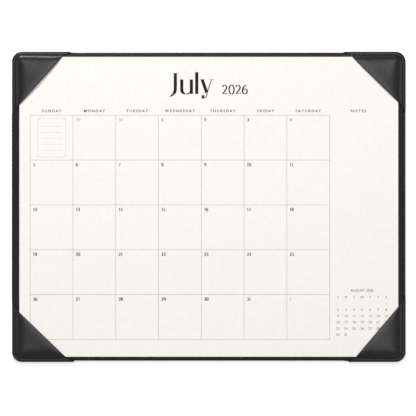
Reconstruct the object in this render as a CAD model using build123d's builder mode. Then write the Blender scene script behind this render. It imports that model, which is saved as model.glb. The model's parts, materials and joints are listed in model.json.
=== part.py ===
from build123d import *
import math
import os
from collections import namedtuple

# A desk pad calendar: a padded leatherette holder with four sewn corner pockets, and a pad of month
# sheets whose corners are tucked into them. Sizes are in millimetres. X runs to the reader's right,
# Y away from the reader and Z up from the desk. The origin is on the desk under the holder's middle.

# The calendar pad
SHEET_WIDTH = 546.0
SHEET_DEPTH = 432.0
SHEET_THICKNESS = 0.11
CARD_THICKNESS = 0.6
GLUE_THICKNESS = 0.3
GLUE_END_INSET = 2.0
MONTHS = ("july", "august", "september", "october", "november", "december",
          "january", "february", "march", "april", "may", "june")
# From the sheet's far edge to the line on which the top sheet bends when its near edge is lifted
BEND_LINE = 76.0

# The holder's base
SIDE_MARGIN = 10.0
END_MARGIN = 6.8
BASE_CORNER_RADIUS = 13.8
BOARD_THICKNESS = 2.4
BOARD_TOP_ROUND = 1.8
BOARD_BOTTOM_ROUND = 0.4
COVER_THICKNESS = 0.7
COVER_HEM = 15.0
UNDERLAY_EDGE_INSET = 8.0
UNDERLAY_EDGE_THICKNESS = 1.7

# The corner pockets
POCKET_LEATHER = 0.8
POCKET_HEM = 7.5
POCKET_WALL_INSET = 6.4
# The pad's square corner has to clear the room's rounded one when the pad slides
POCKET_ROOM_RADIUS = 6.9
POCKET_INNER_ROUND = 1.7
LINING_THICKNESS = 0.4
STIFFENER_THICKNESS = 0.5
PLATE_SETBACK = 4.4
MOUTH_HEM = 7.0
MOUTH_FLARE = 4.0

# The seams
STITCH_INSET = 4.2
STITCH_PITCH = 4.5
STITCH_END_INSET = 3.0
THREAD_RADIUS = 0.34
THREAD_BEND = 0.45

# Clearances
PAD_SEAT_GAP = 0.05
TOP_SHEET_GAP = 0.02
BEND_GAP = 0.05
FLAP_GAP = 0.3
PLATE_EDGE_GAP = 0.1
STITCH_HOLE_GAP = 0.1
THREAD_SEAT_GAP = 0.02

# How far cutting tools run past what they cut, and the sharpest corner that an outline keeps
CUT_MARGIN = 5.0
SHARPEST_CORNER = 0.3

# reach_x and reach_y are where the line of a pocket's mouth would meet the holder's outer edges,
# measured from the holder's outer corner. The four pockets were sewn a little out of square.
Pocket = namedtuple("Pocket", "name side_x side_y reach_x reach_y")
POCKETS = (
    Pocket("back_left", -1, 1, 80.2, 89.1),
    Pocket("back_right", 1, 1, 85.4, 83.8),
    Pocket("front_left", -1, -1, 85.5, 82.4),
    Pocket("front_right", 1, -1, 78.5, 92.6),
)

# Plan sizes that follow
base_width = SHEET_WIDTH + 2 * SIDE_MARGIN
base_depth = SHEET_DEPTH + 2 * END_MARGIN
outer_width = base_width + 2 * POCKET_LEATHER
outer_depth = base_depth + 2 * POCKET_LEATHER
outer_radius = BASE_CORNER_RADIUS + POCKET_LEATHER

# Heights that follow, from the desk up
cover_hem_bottom = UNDERLAY_EDGE_THICKNESS
pocket_hem_bottom = cover_hem_bottom - POCKET_LEATHER
board_bottom = cover_hem_bottom + COVER_THICKNESS
board_top = board_bottom + BOARD_THICKNESS
cover_top = board_top + COVER_THICKNESS
rim_top = cover_top + POCKET_LEATHER
card_bottom = cover_top + PAD_SEAT_GAP
stack_bottom = card_bottom + CARD_THICKNESS
top_sheet_bottom = stack_bottom + (len(MONTHS) - 1) * SHEET_THICKNESS + TOP_SHEET_GAP
pad_top = top_sheet_bottom + SHEET_THICKNESS
lining_bottom = pad_top + FLAP_GAP
stiffener_bottom = lining_bottom + LINING_THICKNESS
flap_bottom = stiffener_bottom + STIFFENER_THICKNESS
flap_top = flap_bottom + POCKET_LEATHER
bend_y = SHEET_DEPTH / 2 - BEND_LINE

# The lining and the stiffener stop short of the pocket's rounded inner edge, so that it stays soft
plate_inset = POCKET_WALL_INSET + PLATE_SETBACK

# A needle hole holds two legs of thread side by side, and the threads lie on the rim and the hem
stitch_hole_radius = 2 * THREAD_RADIUS + STITCH_HOLE_GAP
needle_thread_height = rim_top + THREAD_RADIUS + THREAD_SEAT_GAP
bobbin_thread_height = pocket_hem_bottom - THREAD_RADIUS - THREAD_SEAT_GAP


def outline(inset, radius=None):
    """The holder's outline in the open sketch, set in from the pockets' outer edge by inset.

    Its corners run parallel to the holder's unless they are given a radius of their own."""
    if radius is None:
        radius = max(outer_radius - inset, SHARPEST_CORNER)
    return RectangleRounded(outer_width - 2 * inset, outer_depth - 2 * inset, radius)


def slab(inset, bottom, top, top_round=0.0, bottom_round=0.0, radius=None):
    """A plate with the holder's outline, set in from the pockets' outer edge by inset."""
    with BuildPart() as made:
        with BuildSketch(Plane.XY.offset(bottom)):
            outline(inset, radius)
        extrude(amount=top - bottom)
        if top_round:
            fillet(made.edges().group_by(Axis.Z)[-1], top_round)
        if bottom_round:
            fillet(made.edges().group_by(Axis.Z)[0], bottom_round)
    return made.part


def plan_point(pocket, along_x, along_y):
    """A plan position, given as distances in from the holder's outer corner at that pocket."""
    return (
        pocket.side_x * (outer_width / 2 - along_x),
        pocket.side_y * (outer_depth / 2 - along_y),
    )


def mouth_reaches(pocket, inset):
    """Where the mouth's line, moved towards the corner by inset, meets the two outer edges."""
    length = math.hypot(pocket.reach_x, pocket.reach_y)
    share = 1 - inset * length / (pocket.reach_x * pocket.reach_y)
    return pocket.reach_x * share, pocket.reach_y * share


def mouth_triangle(pocket, inset):
    """The plan of everything on the corner's side of the mouth's line, moved in by inset."""
    reach_x, reach_y = mouth_reaches(pocket, inset)
    corners = [(0, 0), (reach_x, 0), (0, reach_y)]
    return [plan_point(pocket, x, y) for x, y in corners]


def flap_outline(pocket):
    """The plan of a pocket's leather: straight across the pad, flared where it wraps the edges."""
    x_end = pocket.reach_x + MOUTH_FLARE
    y_end = pocket.reach_y + MOUTH_FLARE
    x_wall = pocket.reach_x * (1 - POCKET_WALL_INSET / pocket.reach_y)
    y_wall = pocket.reach_y * (1 - POCKET_WALL_INSET / pocket.reach_x)
    corners = [
        (-CUT_MARGIN, -CUT_MARGIN),
        (x_end, -CUT_MARGIN),
        (x_end, 0),
        (x_wall, POCKET_WALL_INSET),
        (POCKET_WALL_INSET, y_wall),
        (0, y_end),
        (-CUT_MARGIN, y_end),
    ]
    return [plan_point(pocket, x, y) for x, y in corners]


def seam_end(reach, other_reach):
    """How far from the holder's outer corner a seam runs along an edge, short of the flared mouth."""
    at_edge = reach + MOUTH_FLARE
    at_wall = reach * (1 - POCKET_WALL_INSET / other_reach)
    at_seam = at_edge + (at_wall - at_edge) * STITCH_INSET / POCKET_WALL_INSET
    return at_seam - STITCH_END_INSET


def seam_runs(pocket):
    """The seam's needle holes in plan, as three runs: one edge, the round corner, the other edge."""
    x_end = seam_end(pocket.reach_x, pocket.reach_y)
    y_end = seam_end(pocket.reach_y, pocket.reach_x)
    turn_radius = outer_radius - STITCH_INSET
    x_count = round((x_end - outer_radius) / STITCH_PITCH)
    y_count = round((y_end - outer_radius) / STITCH_PITCH)
    turn_count = max(2, round(turn_radius * math.pi / 2 / STITCH_PITCH))
    x_step = (x_end - outer_radius) / x_count
    y_step = (y_end - outer_radius) / y_count
    angles = [math.pi / 2 * i / turn_count for i in range(turn_count + 1)]
    runs = [
        [(x_end - i * x_step, STITCH_INSET) for i in range(x_count + 1)],
        [
            (
                outer_radius - turn_radius * math.sin(a),
                outer_radius - turn_radius * math.cos(a),
            )
            for a in angles
        ],
        [(STITCH_INSET, outer_radius + i * y_step) for i in range(y_count + 1)],
    ]
    return [[plan_point(pocket, x, y) for x, y in run] for run in runs]


def needle_holes(pockets):
    """Every needle hole of these pockets' seams, each once."""
    holes = []
    for pocket in pockets:
        first, turn, last = seam_runs(pocket)
        holes += first + turn[1:-1] + last
    return holes


def thread_loop(length, bar_height):
    """One stitch's loop of thread, from one needle hole to the next. It starts and ends inside the
    board, where the needle thread and the bobbin thread lock together."""
    leg = length / 2 - THREAD_RADIUS - STITCH_HOLE_GAP / 2
    lock = (board_bottom + board_top) / 2
    with BuildPart() as loop:
        with BuildLine(Plane.XZ):
            FilletPolyline(
                (-leg, lock), (-leg, bar_height), (leg, bar_height), (leg, lock), radius=THREAD_BEND
            )
        with BuildSketch(Plane.XY.offset(lock)):
            with Locations((-leg, 0)):
                Circle(THREAD_RADIUS)
        sweep()
    return loop.part


def thread_loops(pocket, bar_height):
    """The loops of one thread all along a pocket's seam."""
    loops = []
    for run in seam_runs(pocket):
        loop = thread_loop(math.dist(run[0], run[1]), bar_height)
        for start, end in zip(run, run[1:]):
            middle_x = (start[0] + end[0]) / 2
            middle_y = (start[1] + end[1]) / 2
            heading = math.degrees(math.atan2(end[1] - start[1], end[0] - start[0]))
            loops.append(loop.moved(Location((middle_x, middle_y, 0), (0, 0, heading))))
    return loops


def save(builder, name):
    """Labels a finished piece and writes it as one STEP file."""
    builder.part.label = name
    export_step(builder.part, f"parts/{name}.step")


os.makedirs("parts", exist_ok=True)

# Shapes that several pieces share: the bare board, the covered base, and the room under the flaps
board_shape = slab(
    POCKET_LEATHER + COVER_THICKNESS, board_bottom, board_top, BOARD_TOP_ROUND, BOARD_BOTTOM_ROUND
)
base_shape = slab(
    POCKET_LEATHER,
    cover_hem_bottom,
    cover_top,
    BOARD_TOP_ROUND + COVER_THICKNESS,
    BOARD_BOTTOM_ROUND + COVER_THICKNESS,
)
flap_room = slab(
    POCKET_WALL_INSET, board_top, flap_bottom, POCKET_INNER_ROUND, radius=POCKET_ROOM_RADIUS
)
rim_shape = slab(
    0,
    pocket_hem_bottom,
    rim_top,
    BOARD_TOP_ROUND + COVER_THICKNESS + POCKET_LEATHER,
    BOARD_BOTTOM_ROUND + COVER_THICKNESS + POCKET_LEATHER,
)
flap_shape = slab(
    POCKET_WALL_INSET - POCKET_LEATHER,
    board_top,
    flap_top,
    POCKET_INNER_ROUND + POCKET_LEATHER,
    radius=POCKET_ROOM_RADIUS + POCKET_LEATHER,
)
cover_hem_opening = slab(POCKET_LEATHER + COVER_HEM, 0, board_bottom)
pocket_hem_opening = slab(POCKET_HEM, 0, cover_hem_bottom)

# Base board: the stiff core, pierced along the four seams
with BuildPart() as base_board:
    add(board_shape)
    with Locations(*needle_holes(POCKETS)):
        Hole(stitch_hole_radius)
save(base_board, "base_board")

# Top cover: leatherette over the board, round its edges and turned in underneath
with BuildPart() as top_cover:
    add(base_shape)
    add(board_shape, mode=Mode.SUBTRACT)
    add(cover_hem_opening, mode=Mode.SUBTRACT)
    with Locations(*needle_holes(POCKETS)):
        Hole(stitch_hole_radius)
save(top_cover, "top_cover")

# Non-slip underlay: soft sheet on the underside, pressed thinner where it covers the turned-in hem
with BuildPart() as underlay:
    add(slab(POCKET_LEATHER + UNDERLAY_EDGE_INSET, 0, cover_hem_bottom))
    add(slab(POCKET_LEATHER + COVER_HEM, 0, board_bottom))
save(underlay, "non_slip_underlay")

# Corner pockets
for pocket in POCKETS:
    # Mouth hem: the leather folds round the stiffener's edge and back under it, level with the lining
    with BuildPart() as mouth_hem:
        with BuildSketch(Plane.XY.offset(lining_bottom)):
            Polygon(*mouth_triangle(pocket, -CUT_MARGIN), align=None)
            Polygon(*mouth_triangle(pocket, POCKET_LEATHER), align=None, mode=Mode.SUBTRACT)
        extrude(amount=flap_top - lining_bottom)
        with BuildSketch(Plane.XY.offset(lining_bottom)):
            Polygon(*mouth_triangle(pocket, -CUT_MARGIN), align=None)
            Polygon(*mouth_triangle(pocket, MOUTH_HEM), align=None, mode=Mode.SUBTRACT)
        extrude(amount=LINING_THICKNESS)

    with BuildPart() as pocket_room:
        add(flap_room)
        add(mouth_hem.part, mode=Mode.SUBTRACT)

    with BuildPart() as flap_prism:
        with BuildSketch():
            Polygon(*flap_outline(pocket), align=None)
        extrude(amount=flap_top + CUT_MARGIN)

    # Leather panel: hem under the base, wrapped edge, sewn rim, raised flap and folded mouth
    with BuildPart() as panel:
        add(rim_shape)
        add(flap_shape)
        add(flap_prism.part, mode=Mode.INTERSECT)
        add(base_shape, mode=Mode.SUBTRACT)
        add(pocket_hem_opening, mode=Mode.SUBTRACT)
        add(pocket_room.part, mode=Mode.SUBTRACT)
        with Locations(*needle_holes([pocket])):
            Hole(stitch_hole_radius)
    save(panel, f"pocket_leather_{pocket.name}")

    # Stiffener: thin card inside the flap
    with BuildPart() as stiffener:
        with BuildSketch(Plane.XY.offset(stiffener_bottom)):
            outline(plate_inset)
            Polygon(
                *mouth_triangle(pocket, POCKET_LEATHER + PLATE_EDGE_GAP), align=None, mode=Mode.INTERSECT
            )
        extrude(amount=STIFFENER_THICKNESS)
    save(stiffener, f"pocket_stiffener_{pocket.name}")

    # Lining: smooth cloth under the flap, butted to the folded mouth hem
    with BuildPart() as lining:
        with BuildSketch(Plane.XY.offset(lining_bottom)):
            outline(plate_inset)
            Polygon(*mouth_triangle(pocket, MOUTH_HEM + PLATE_EDGE_GAP), align=None, mode=Mode.INTERSECT)
        extrude(amount=LINING_THICKNESS)
    save(lining, f"pocket_lining_{pocket.name}")

    # Needle thread: the stitches that lie on the rim
    with BuildPart() as needle_thread:
        add(thread_loops(pocket, needle_thread_height))
    save(needle_thread, f"needle_thread_{pocket.name}")

    # Bobbin thread: the stitches that lie under the turned-in hem
    with BuildPart() as bobbin_thread:
        add(thread_loops(pocket, bobbin_thread_height))
    save(bobbin_thread, f"bobbin_thread_{pocket.name}")

# Backing card: the stiff grey card at the bottom of the pad
with BuildPart() as backing_card:
    with BuildSketch(Plane.XY.offset(card_bottom)):
        Rectangle(SHEET_WIDTH, SHEET_DEPTH)
    extrude(amount=CARD_THICKNESS)
save(backing_card, "backing_card")

# Binding: padding glue along the far edge of the card and the sheets
with BuildPart() as binding_glue:
    with BuildSketch(Plane.XY.offset(card_bottom)):
        with Locations((0, SHEET_DEPTH / 2)):
            Rectangle(SHEET_WIDTH - 2 * GLUE_END_INSET, GLUE_THICKNESS, align=(Align.CENTER, Align.MIN))
    extrude(amount=pad_top - card_bottom)
save(binding_glue, "binding_glue")

# Month sheets under the top one, from the second down to the last
for number, month in enumerate(MONTHS[1:], start=2):
    sheet_bottom = stack_bottom + (len(MONTHS) - number) * SHEET_THICKNESS
    with BuildPart() as sheet:
        with BuildSketch(Plane.XY.offset(sheet_bottom)):
            Rectangle(SHEET_WIDTH, SHEET_DEPTH)
        extrude(amount=SHEET_THICKNESS)
    save(sheet, f"sheet_{number:02d}_{month}")

# Top sheet: one sheet of paper, in two solids that meet at the line on which it bends
with BuildPart() as bound_end:
    with BuildSketch(Plane.XY.offset(top_sheet_bottom)):
        with Locations((0, bend_y)):
            Rectangle(SHEET_WIDTH, BEND_LINE, align=(Align.CENTER, Align.MIN))
    extrude(amount=SHEET_THICKNESS)
save(bound_end, f"sheet_01_{MONTHS[0]}_bound_end")

with BuildPart() as free_end:
    with BuildSketch(Plane.XY.offset(top_sheet_bottom)):
        with Locations((0, -SHEET_DEPTH / 2)):
            Rectangle(
                SHEET_WIDTH, SHEET_DEPTH - BEND_LINE - BEND_GAP, align=(Align.CENTER, Align.MIN)
            )
    extrude(amount=SHEET_THICKNESS)
save(free_end, f"sheet_01_{MONTHS[0]}_free_end")
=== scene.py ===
# %% [markdown]
# # A desk pad calendar
# The object is a flat holder, covered in black leatherette, with a pocket sewn over each corner. A pad
# of month sheets is tucked into the pockets. The construction is loaded first, as a fixed frame with
# every piece at its real size and place. Each cell after that gives one piece or one finish its looks.

# %% Load the construction
import bisect
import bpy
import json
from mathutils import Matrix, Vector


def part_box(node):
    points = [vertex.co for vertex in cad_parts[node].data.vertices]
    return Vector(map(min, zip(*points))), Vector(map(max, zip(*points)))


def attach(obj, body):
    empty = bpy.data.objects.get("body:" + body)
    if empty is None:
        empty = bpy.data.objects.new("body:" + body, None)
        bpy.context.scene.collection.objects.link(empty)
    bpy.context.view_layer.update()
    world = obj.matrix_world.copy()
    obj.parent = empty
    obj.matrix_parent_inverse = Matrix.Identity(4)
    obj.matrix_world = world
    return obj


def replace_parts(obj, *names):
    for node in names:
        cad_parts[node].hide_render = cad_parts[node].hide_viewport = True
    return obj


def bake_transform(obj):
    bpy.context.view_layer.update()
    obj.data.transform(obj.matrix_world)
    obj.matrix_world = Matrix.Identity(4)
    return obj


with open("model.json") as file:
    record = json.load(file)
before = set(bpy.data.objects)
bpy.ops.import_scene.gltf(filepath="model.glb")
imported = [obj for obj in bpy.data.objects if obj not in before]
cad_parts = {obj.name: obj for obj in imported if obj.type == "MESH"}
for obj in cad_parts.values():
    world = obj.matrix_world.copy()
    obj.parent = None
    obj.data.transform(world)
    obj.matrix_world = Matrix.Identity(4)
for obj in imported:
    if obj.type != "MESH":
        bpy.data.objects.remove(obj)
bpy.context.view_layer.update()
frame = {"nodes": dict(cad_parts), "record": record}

import calendar
import json
import math
import random

import bmesh
import bpy
from mathutils import Matrix, Vector, noise

MM = 0.001
print("pieces in the frame:", len(frame["nodes"]))

# %% [markdown]
# ## The camera
# The photograph looks straight down and shows no perspective. An orthographic camera could do that, but
# a long lens from far away looks the same and also serves the views from other sides. The camera hangs
# over a point a little off the object's middle, because the object is not quite centred in the picture.

# %% Hang the camera
FRAME_SPAN = 0.60004
CAMERA_HEIGHT = 6.0
PAGE_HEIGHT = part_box("sheet_01_july_free_end")[1].z
PICTURE_CENTRE = (-0.00115, -0.00173)
SENSOR = 36.0

camera_data = bpy.data.cameras.new("camera")
camera_data.sensor_width = SENSOR
camera_data.lens = SENSOR * (CAMERA_HEIGHT - PAGE_HEIGHT) / FRAME_SPAN
camera_data.clip_end = 100
camera = bpy.data.objects.new("camera", camera_data)
camera.location = (*PICTURE_CENTRE, CAMERA_HEIGHT)
bpy.context.scene.collection.objects.link(camera)
bpy.context.scene.camera = camera
bpy.context.scene.view_settings.view_transform = "Standard"
print("lens", round(camera_data.lens), "mm")

# %% [markdown]
# ## Shader maths as plain expressions
# A Blender material is a graph of nodes, and sums done by hand with nodes are hard to read. One small
# class wraps a node's socket, so that `1 - mask * 0.5` adds the Math nodes that say the same. Colours
# are mixed with Mix nodes, because a Math node would turn them grey.


# %% Wrap a socket
class Sock:
    """A socket that a number can be read from, with operators that add Math nodes."""

    def __init__(self, graph, socket):
        self.graph = graph
        self.socket = socket

    def math(self, operation, other):
        return self.graph.node("Math", {"operation": operation}, (self, other))

    def __add__(self, other):
        return self.math("ADD", other)

    def __sub__(self, other):
        return self.math("SUBTRACT", other)

    def __rsub__(self, other):
        return self.graph.node("Math", {"operation": "SUBTRACT"}, (other, self))

    def __mul__(self, other):
        return self.math("MULTIPLY", other)

    __radd__ = __add__

    def ramp(self, low, high):
        """0 below low, 1 above high, and smooth between them."""
        values = {"Value": self, "From Min": low, "From Max": high}
        return self.graph.node("MapRange", {"interpolation_type": "SMOOTHSTEP"}, values)


# %% [markdown]
# ## A graph and its patterns
# A second class holds a graph of nodes. Its methods are the few patterns that the finishes below are
# mixed from: mottling, cells, mixed colours and fine relief.


# %% Build a graph
class Graph:
    """The node graph of a new material or world, which is its owner."""

    def __init__(self, owner):
        self.owner = owner
        owner.use_nodes = True
        self.tree = owner.node_tree
        self.tree.nodes.clear()

    def node(self, kind, settings=None, values=(), output=0):
        """Adds one node: its settings first, then the values or links of its sockets."""
        made = self.tree.nodes.new("ShaderNode" + kind)
        for key, value in (settings or {}).items():
            setattr(made, key, value)
        for key, value in values.items() if isinstance(values, dict) else enumerate(values):
            if isinstance(value, Sock):
                self.tree.links.new(value.socket, made.inputs[key])
            else:
                made.inputs[key].default_value = value
        return Sock(self, made.outputs[output])

    def place(self):
        """The point of the object that is shaded."""
        return self.node("TexCoord", output="Object")

    def noise(self, size, detail=2.0, roughness=0.5, stretch=None):
        """Soft random mottling from 0 to 1, with lumps about as large as size."""
        place = self.place()
        if stretch:
            place = self.node("Mapping", None, {"Vector": place, "Scale": stretch})
        values = {"Vector": place, "Scale": 1 / size, "Detail": detail, "Roughness": roughness}
        return self.node("TexNoise", None, values)

    def cells(self, size, feature="F1"):
        """A pattern of cells about as wide as size, such as the pebbles of a leather grain."""
        values = {"Vector": self.place(), "Scale": 1 / size}
        return self.node("TexVoronoi", {"feature": feature}, values, "Distance")

    def mix(self, share, first, second):
        """The first colour where share is 0 and the second where it is 1."""
        return self.node("Mix", {"data_type": "RGBA"}, {0: share, 6: first, 7: second}, 2)

    def bump(self, height, depth, strength):
        """A normal tilted by the height's slopes, for relief too fine to model."""
        return self.node("Bump", None, {"Height": height, "Distance": depth, "Strength": strength})

    def finish(self, colour, roughness, normal=None, **fixed):
        """Ends the graph in a Principled shader. Fixed values are set on its own sockets."""
        values = {"Base Color": colour, "Roughness": roughness}
        if normal:
            values["Normal"] = normal
        values.update({name.replace("_", " "): value for name, value in fixed.items()})
        return self.end(self.node("BsdfPrincipled", None, values), "OutputMaterial")

    def end(self, shader, kind):
        """Links a shader to the graph's output and gives back the owner."""
        output = self.tree.nodes.new("ShaderNode" + kind)
        self.tree.links.new(shader.socket, output.inputs["Surface"])
        return self.owner


def new_material(name):
    return Graph(bpy.data.materials.new(name))


def srgb(red, green, blue):
    """A colour as a screen gives it, from 0 to 255, turned into the linear values a shader uses."""
    shares = [value / 255 for value in (red, green, blue)]
    linear = [v / 12.92 if v <= 0.04045 else ((v + 0.055) / 1.055) ** 2.4 for v in shares]
    return (*linear, 1.0)


# %% [markdown]
# ## Leatherette
# The holder's cover is coated cloth, pressed with a fine pebble grain. Its shine comes from the coating,
# so it is the roughness and the bumps that show the material, not its colour, which is close to black.
# Two sizes of cells make the pebbles and a slow noise varies the shine, as hands and rubbing would.

# %% Mix the leatherette
PEBBLE_SIZE, CREASE_SIZE = 0.9 * MM, 1.6 * MM


def leatherette():
    g = new_material("leatherette")
    pebbles = g.cells(PEBBLE_SIZE, "SMOOTH_F1")
    creases = g.cells(CREASE_SIZE, "DISTANCE_TO_EDGE").ramp(0.0, 0.16)
    mottle = g.noise(14 * MM, 3.0)
    wear = g.noise(45 * MM, 2.0).ramp(0.45, 0.75)
    relief = (1 - pebbles) * 0.6 + creases * 0.4
    colour = g.mix(mottle.ramp(0.3, 0.7), srgb(7, 7, 8), srgb(14, 14, 15))
    roughness = 0.19 + mottle * 0.05 - wear * 0.03 + (1 - creases) * 0.1
    return g.finish(colour, roughness, g.bump(relief, 0.05 * MM, 0.15), Specular_IOR_Level=0.24)


LEATHERETTE = leatherette()
print("mixed", LEATHERETTE.name)

# %% [markdown]
# ## Thread
# The seams are sewn with a black twisted thread. The twist is modelled, so the finish only needs the
# fine fibres along it and the dull sheen of spun polyester.


# %% Mix the thread
def thread():
    g = new_material("sewing_thread")
    fibres = g.noise(0.12 * MM, 2.0, stretch=(1, 1, 3))
    colour = g.mix(fibres, srgb(5, 5, 5), srgb(22, 22, 23))
    return g.finish(colour, 0.3 + fibres * 0.15, g.bump(fibres, 0.03 * MM, 0.4), Specular_IOR_Level=0.25)


THREAD = thread()
print("mixed", THREAD.name)

# %% [markdown]
# ## Paper
# The sheets are uncoated cream paper. Paper is never quite even: the fibres lie in soft clouds that
# show as a faint mottle, and its surface has a tooth that only a low light picks out.


# %% Mix the paper
def paper():
    g = new_material("cream_paper")
    clouds = g.noise(6 * MM, 4.0, 0.6)
    tooth = g.noise(0.35 * MM, 3.0, 0.7)
    dull = [channel * 0.99 for channel in srgb(250, 247, 240)[:3]]
    colour = g.mix(clouds.ramp(0.35, 0.65), srgb(252, 249, 243), (*dull, 1))
    return g.finish(colour, 0.86 + tooth * 0.08, g.bump(tooth, 0.02 * MM, 0.35), Specular_IOR_Level=0.25)


PAPER = paper()
print("mixed", PAPER.name)

# %% [markdown]
# ## Boards, underlay, lining, glue and ink
# These are the plainer materials. Grey board is pulped paper with darker flecks, the underlay is a
# foamed rubber that grips the desk, the lining is a tight woven cloth, and the padding glue dries to a
# dull skin. Printing ink sinks into the paper, so it takes the paper's roughness.


# %% Mix the plainer materials
def grey_board():
    g = new_material("grey_board")
    pulp = g.noise(1.2 * MM, 5.0, 0.7)
    flecks = g.cells(2.5 * MM).ramp(0.05, 0.14)
    colour = g.mix(pulp * flecks, srgb(118, 112, 104), srgb(168, 163, 153))
    return g.finish(colour, 0.85 + pulp * 0.1, g.bump(pulp, 0.05 * MM, 0.5))


def foam_rubber():
    g = new_material("foam_rubber")
    pores = g.cells(1.1 * MM)
    speckle = g.noise(0.5 * MM, 3.0)
    colour = g.mix(pores.ramp(0.1, 0.6), srgb(22, 22, 23), srgb(48, 48, 50))
    return g.finish(colour, 0.82 + speckle * 0.12, g.bump(1 - pores, 0.15 * MM, 0.8))


def lining_cloth():
    g = new_material("lining_cloth")
    values = {"Vector": g.place(), "Scale": 700.0}
    along, across = (g.node("TexWave", {"bands_direction": axis}, values, "Fac") for axis in "XY")
    weave = along * across
    colour = g.mix(weave, srgb(20, 20, 22), srgb(52, 52, 55))
    return g.finish(colour, 0.75 + weave * 0.1, g.bump(weave, 0.05 * MM, 0.6), Sheen_Weight=0.15)


def padding_glue():
    g = new_material("padding_glue")
    streaks = g.noise(3 * MM, 3.0, stretch=(0.2, 1, 1))
    colour = g.mix(streaks, srgb(214, 208, 194), srgb(236, 231, 220))
    return g.finish(colour, 0.5 + streaks * 0.2, g.bump(streaks, 0.05 * MM, 0.4))


def ink(name, tone):
    g = new_material(name)
    speckle = g.noise(0.3 * MM, 3.0, 0.7)
    colour = g.mix(speckle.ramp(0.35, 0.8), srgb(*tone), srgb(*(min(255, c + 14) for c in tone)))
    return g.finish(colour, 0.8 + speckle * 0.1, Specular_IOR_Level=0.25)


GREY_BOARD = grey_board()
FOAM_RUBBER = foam_rubber()
LINING_CLOTH = lining_cloth()
PADDING_GLUE = padding_glue()
INK_BLACK = ink("ink_black", (14, 13, 13))
INK_LINE = ink("ink_line", (168, 166, 162))
INK_PALE = ink("ink_pale", (196, 193, 188))
print("mixed", len(bpy.data.materials), "materials")

# %% [markdown]
# ## Give the hidden pieces their materials
# Pieces whose shape is already right keep their solids and only change their material. The frame's
# record says which finish each piece has.

# %% Dress the solids that stay
FINISHES = {
    "core_board": GREY_BOARD,
    "leatherette": LEATHERETTE,
    "underlay": FOAM_RUBBER,
    "lining_cloth": LINING_CLOTH,
    "thread": THREAD,
    "backing_card": GREY_BOARD,
    "padding_glue": PADDING_GLUE,
    "paper": PAPER,
}
slot_of = {row["node"]: row["material_slot"] for row in frame["record"]["subparts"]}
for name, obj in frame["nodes"].items():
    obj.data.materials.clear()
    obj.data.materials.append(FINISHES[slot_of[name]])
print("dressed", len(slot_of), "solids")

# %% [markdown]
# ## Meshes from rows of points
# Leather, thread and paper are all sheets or tubes, and a sheet is easiest to describe as rows of
# points. Each row follows the piece's edge, and the next row lies a little further in. Neighbouring
# rows are joined by four-sided faces, which subdivide and shade well.


# %% Join rows into a mesh
def collapse(bm, gap=0.01 * MM):
    """Joins points that lie on each other and turns all faces outwards."""
    bmesh.ops.remove_doubles(bm, verts=bm.verts, dist=gap)
    bmesh.ops.dissolve_degenerate(bm, edges=bm.edges, dist=gap / 10)
    bmesh.ops.recalc_face_normals(bm, faces=bm.faces)


def add_rows(bm, rows, closed=False):
    """Adds a grid of faces between rows of points and returns its vertices, row by row."""
    grid = [[bm.verts.new(point) for point in row] for row in rows]
    for near, far in zip(grid, grid[1:]):
        count = len(near) if closed else len(near) - 1
        for i in range(count):
            j = (i + 1) % len(near)
            bm.faces.new((near[i], near[j], far[j], far[i]))
    return grid


def new_object(name, bm, material, slot):
    """Turns a bmesh into an object in the scene."""
    mesh = bpy.data.meshes.new(name)
    bm.to_mesh(mesh)
    bm.free()
    mesh.materials.append(material)
    obj = bpy.data.objects.new(name, mesh)
    bpy.context.scene.collection.objects.link(obj)
    print(name, "has", len(mesh.vertices), "points")
    return obj


def add_piece(name, bm, material, slot):
    """A smooth-shaded piece that rides on the holder."""
    obj = new_object(name, bm, material, slot)
    obj.data.polygons.foreach_set("use_smooth", [True] * len(obj.data.polygons))
    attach(obj, "holder")
    return obj


def thicken(obj, thickness, group=None):
    """Gives a skin its thickness on the inside. A vertex group thins it where leather is skived."""
    solid = obj.modifiers.new("thickness", "SOLIDIFY")
    solid.thickness = thickness
    solid.offset = -1
    if group:
        solid.vertex_group = group
        solid.thickness_vertex_group = 0.3


def smooth(share):
    """0 below 0, 1 above 1, and a soft S between them."""
    share = min(1.0, max(0.0, share))
    return share * share * (3 - 2 * share)


# %% [markdown]
# ## Measures of the holder
# Heights come from the frame's own boxes. The insets are counted from the pockets' outer edge inwards,
# as a leather worker would mark them. Soft leather swells a little past the solid on all sides.

# %% Take the measures
low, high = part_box("pocket_leather_back_right")
SWELL_X, SWELL_Y = 0.25 * MM, 0.35 * MM
HALF_X, HALF_Y = high.x + SWELL_X, high.y + SWELL_Y
HEM_LEVEL, FLAP_TOP = low.z, high.z
COVER_LOW, COVER_TOP = (corner.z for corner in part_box("top_cover"))
COVER_INSET = high.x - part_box("top_cover")[1].x
RIM_TOP = COVER_TOP + COVER_INSET
LINING_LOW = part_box("pocket_lining_back_right")[0].z
OUTER_RADIUS = 14.6 * MM
MOUTH_FLARE, NOSE = 4.0 * MM, 0.95 * MM
WALL_INSET = 6.4 * MM
STITCH_INSET = 4.2 * MM
STITCH_PITCH = 4.5 * MM
STITCH_END_INSET = 3.0 * MM
THREAD_RADIUS = 0.46 * MM
HOLE_REACH = 1.0 * MM
print("rim at", round(RIM_TOP / MM, 2), "mm, flap at", round(FLAP_TOP / MM, 2), "mm")

# %% [markdown]
# ## Round the holder
# The board and the cover share one outline with round corners. A station on it is a base point and a
# direction, so that a row of points at any inset is found by stepping out from the base points.

# %% Walk round the outline
CORNERS = ((1, 1), (-1, 1), (-1, -1), (1, -1))
SIDES = ((-1, 0), (0, -1), (1, 0), (0, 1))
ARC_STEPS, SIDE_STEP = 16, 3.0 * MM


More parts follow.
